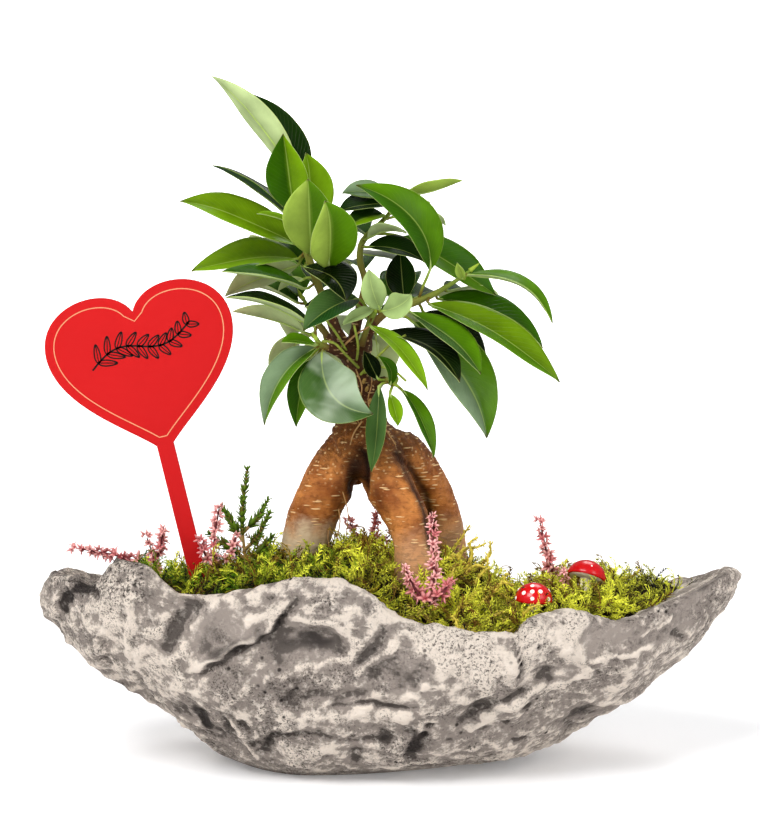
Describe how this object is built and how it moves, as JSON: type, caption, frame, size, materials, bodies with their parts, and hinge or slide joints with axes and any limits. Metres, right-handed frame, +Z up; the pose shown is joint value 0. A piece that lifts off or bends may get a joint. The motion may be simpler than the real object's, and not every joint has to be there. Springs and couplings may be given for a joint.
{
  "type": "potted ficus bonsai",
  "caption": "Small fig bonsai with swollen aerial roots in a boat-shaped stone planter with moss, sprigs, toy mushrooms and a heart pick; stands on a table.",
  "frame": {"origin": "on the table, under the middle of the planter", "axes": "+X along the planter to the right as seen from the front, +Y away from the viewer, +Z up"},
  "size_m": [0.353, 0.1698, 0.3432],
  "materials": {
    "stone": "matt cast stone with pores, pale warm grey with smooth grey scoops",
    "soil": "loose dark potting soil",
    "moss": "soft yellow-green cushions",
    "bark": "smooth orange-brown root bark with pale lenticels",
    "leaf": "glossy green above, pale green below",
    "young_leaf": "pale young leaves and a few dark ones",
    "pink": "matt dusty pink",
    "needle": "matt dark green",
    "cap_red": "glossy red with white dots",
    "stem_white": "matt off-white",
    "sign_red": "red paint on thin board"
  },
  "bodies": {
    "root": {"planter": "stone", "soil": "soil", "moss": "moss", "trunk": "bark", "shoot_leader": "leaf", "shoot_centre": "leaf", "shoot_right": "leaf", "shoot_young": "young_leaf", "shoot_low_left": "leaf", "shoot_low_right": "leaf", "shoot_back": "leaf", "shoot_back_left": "leaf", "pink_sprig_lying": "pink", "pink_sprig_left": "pink", "pink_sprig_beside": "pink", "pink_sprig_arch": "pink", "pink_sprig_front": "pink", "pink_sprig_right": "pink", "pink_sprig_low": "pink", "green_sprig": "needle", "mushroom_cap_right": "cap_red", "mushroom_stem_right": "stem_white", "mushroom_cap_left": "cap_red", "mushroom_stem_left": "stem_white", "heart_pick": "sign_red"}
  },
  "joints": []
}
